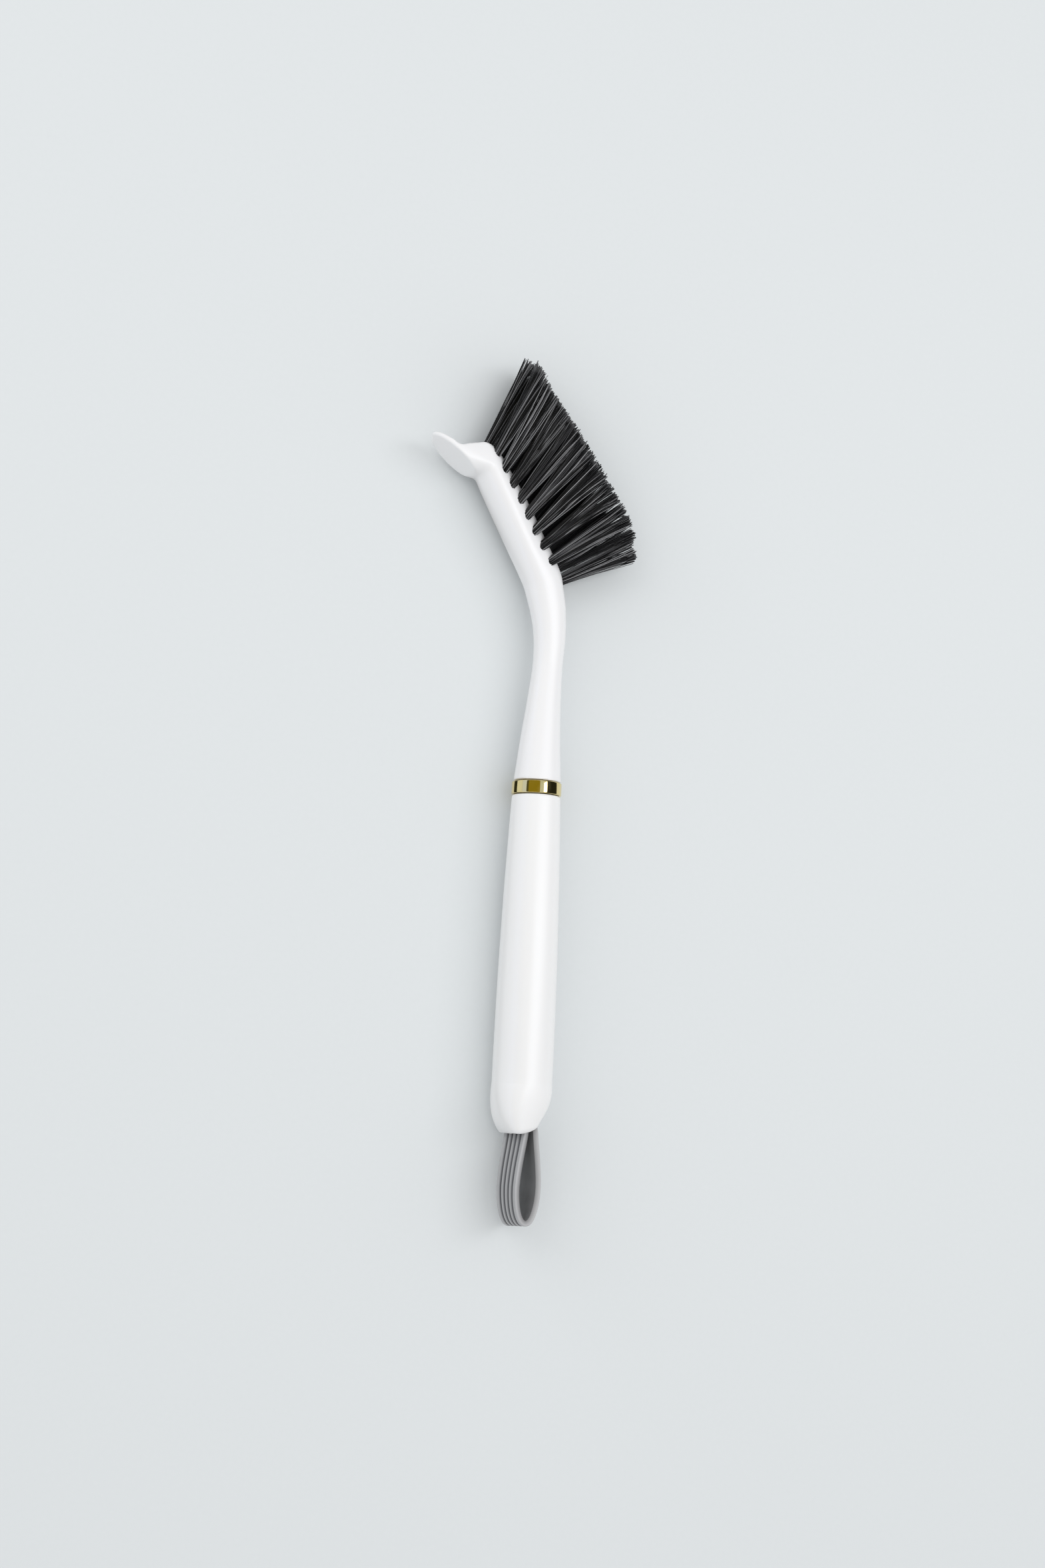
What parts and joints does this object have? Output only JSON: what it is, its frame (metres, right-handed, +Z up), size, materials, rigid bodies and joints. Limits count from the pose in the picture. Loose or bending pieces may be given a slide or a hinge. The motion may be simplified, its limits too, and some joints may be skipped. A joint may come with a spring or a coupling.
{
  "type": "sink brush",
  "caption": "Long-handled sink brush with an angled head of leaning bristle tufts, a scraper tip, a collar ring and a springy hanging loop.",
  "frame": {"origin": "Under the middle of the brush as it lies on its side: the middle of its bounding box in X and Y, at its lowest level in Z.", "axes": "+Y runs from the hanging loop to the head, along the handle. +X is the side that the bristles point to. +Z is up, across the head, with the brush lying on its side."},
  "size_m": [0.0742, 0.2898, 0.0226],
  "materials": {
    "head_plastic": "satin white",
    "handle_plastic": "satin white",
    "gold_plate": "polished gold",
    "bristle_nylon": "charcoal filament",
    "anchor_wire": "flat wire",
    "silicone": "satin grey"
  },
  "bodies": {
    "brush": {"head_and_neck": "head_plastic", "collar_ring": "gold_plate", "handle": "handle_plastic", "loop_tail": "silicone", "tuft_tip": "bristle_nylon", "tuft_left_1": "bristle_nylon", "tuft_left_2": "bristle_nylon", "tuft_left_3": "bristle_nylon", "tuft_left_4": "bristle_nylon", "tuft_left_5": "bristle_nylon", "tuft_left_6": "bristle_nylon", "tuft_left_7": "bristle_nylon", "tuft_left_8": "bristle_nylon", "tuft_right_1": "bristle_nylon", "tuft_right_2": "bristle_nylon", "tuft_right_3": "bristle_nylon", "tuft_right_4": "bristle_nylon", "tuft_right_5": "bristle_nylon", "tuft_right_6": "bristle_nylon", "tuft_right_7": "bristle_nylon", "tuft_right_8": "bristle_nylon", "tuft_middle_1": "bristle_nylon", "tuft_middle_2": "bristle_nylon", "tuft_middle_3": "bristle_nylon", "tuft_middle_4": "bristle_nylon", "tuft_middle_5": "bristle_nylon", "tuft_middle_6": "bristle_nylon", "tuft_middle_7": "bristle_nylon", "tuft_middle_8": "bristle_nylon", "tuft_middle_9": "bristle_nylon", "anchor_tip": "anchor_wire", "anchor_left_1": "anchor_wire", "anchor_left_2": "anchor_wire", "anchor_left_3": "anchor_wire", "anchor_left_4": "anchor_wire", "anchor_left_5": "anchor_wire", "anchor_left_6": "anchor_wire", "anchor_left_7": "anchor_wire", "anchor_left_8": "anchor_wire", "anchor_right_1": "anchor_wire", "anchor_right_2": "anchor_wire", "anchor_right_3": "anchor_wire", "anchor_right_4": "anchor_wire", "anchor_right_5": "anchor_wire", "anchor_right_6": "anchor_wire", "anchor_right_7": "anchor_wire", "anchor_right_8": "anchor_wire", "anchor_middle_1": "anchor_wire", "anchor_middle_2": "anchor_wire", "anchor_middle_3": "anchor_wire", "anchor_middle_4": "anchor_wire", "anchor_middle_5": "anchor_wire", "anchor_middle_6": "anchor_wire", "anchor_middle_7": "anchor_wire", "anchor_middle_8": "anchor_wire", "anchor_middle_9": "anchor_wire"},
    "loop": {"hanging_loop": "silicone"}
  },
  "joints": [
    {"name": "loop_flex", "type": "hinge", "parent": "brush", "child": "loop", "pos_m": [0.0069, -0.1133, 0.0113], "axis": [0, 0, 1], "range_deg": [-30, 30], "stiffness_Nm_per_rad": 0.015}
  ]
}
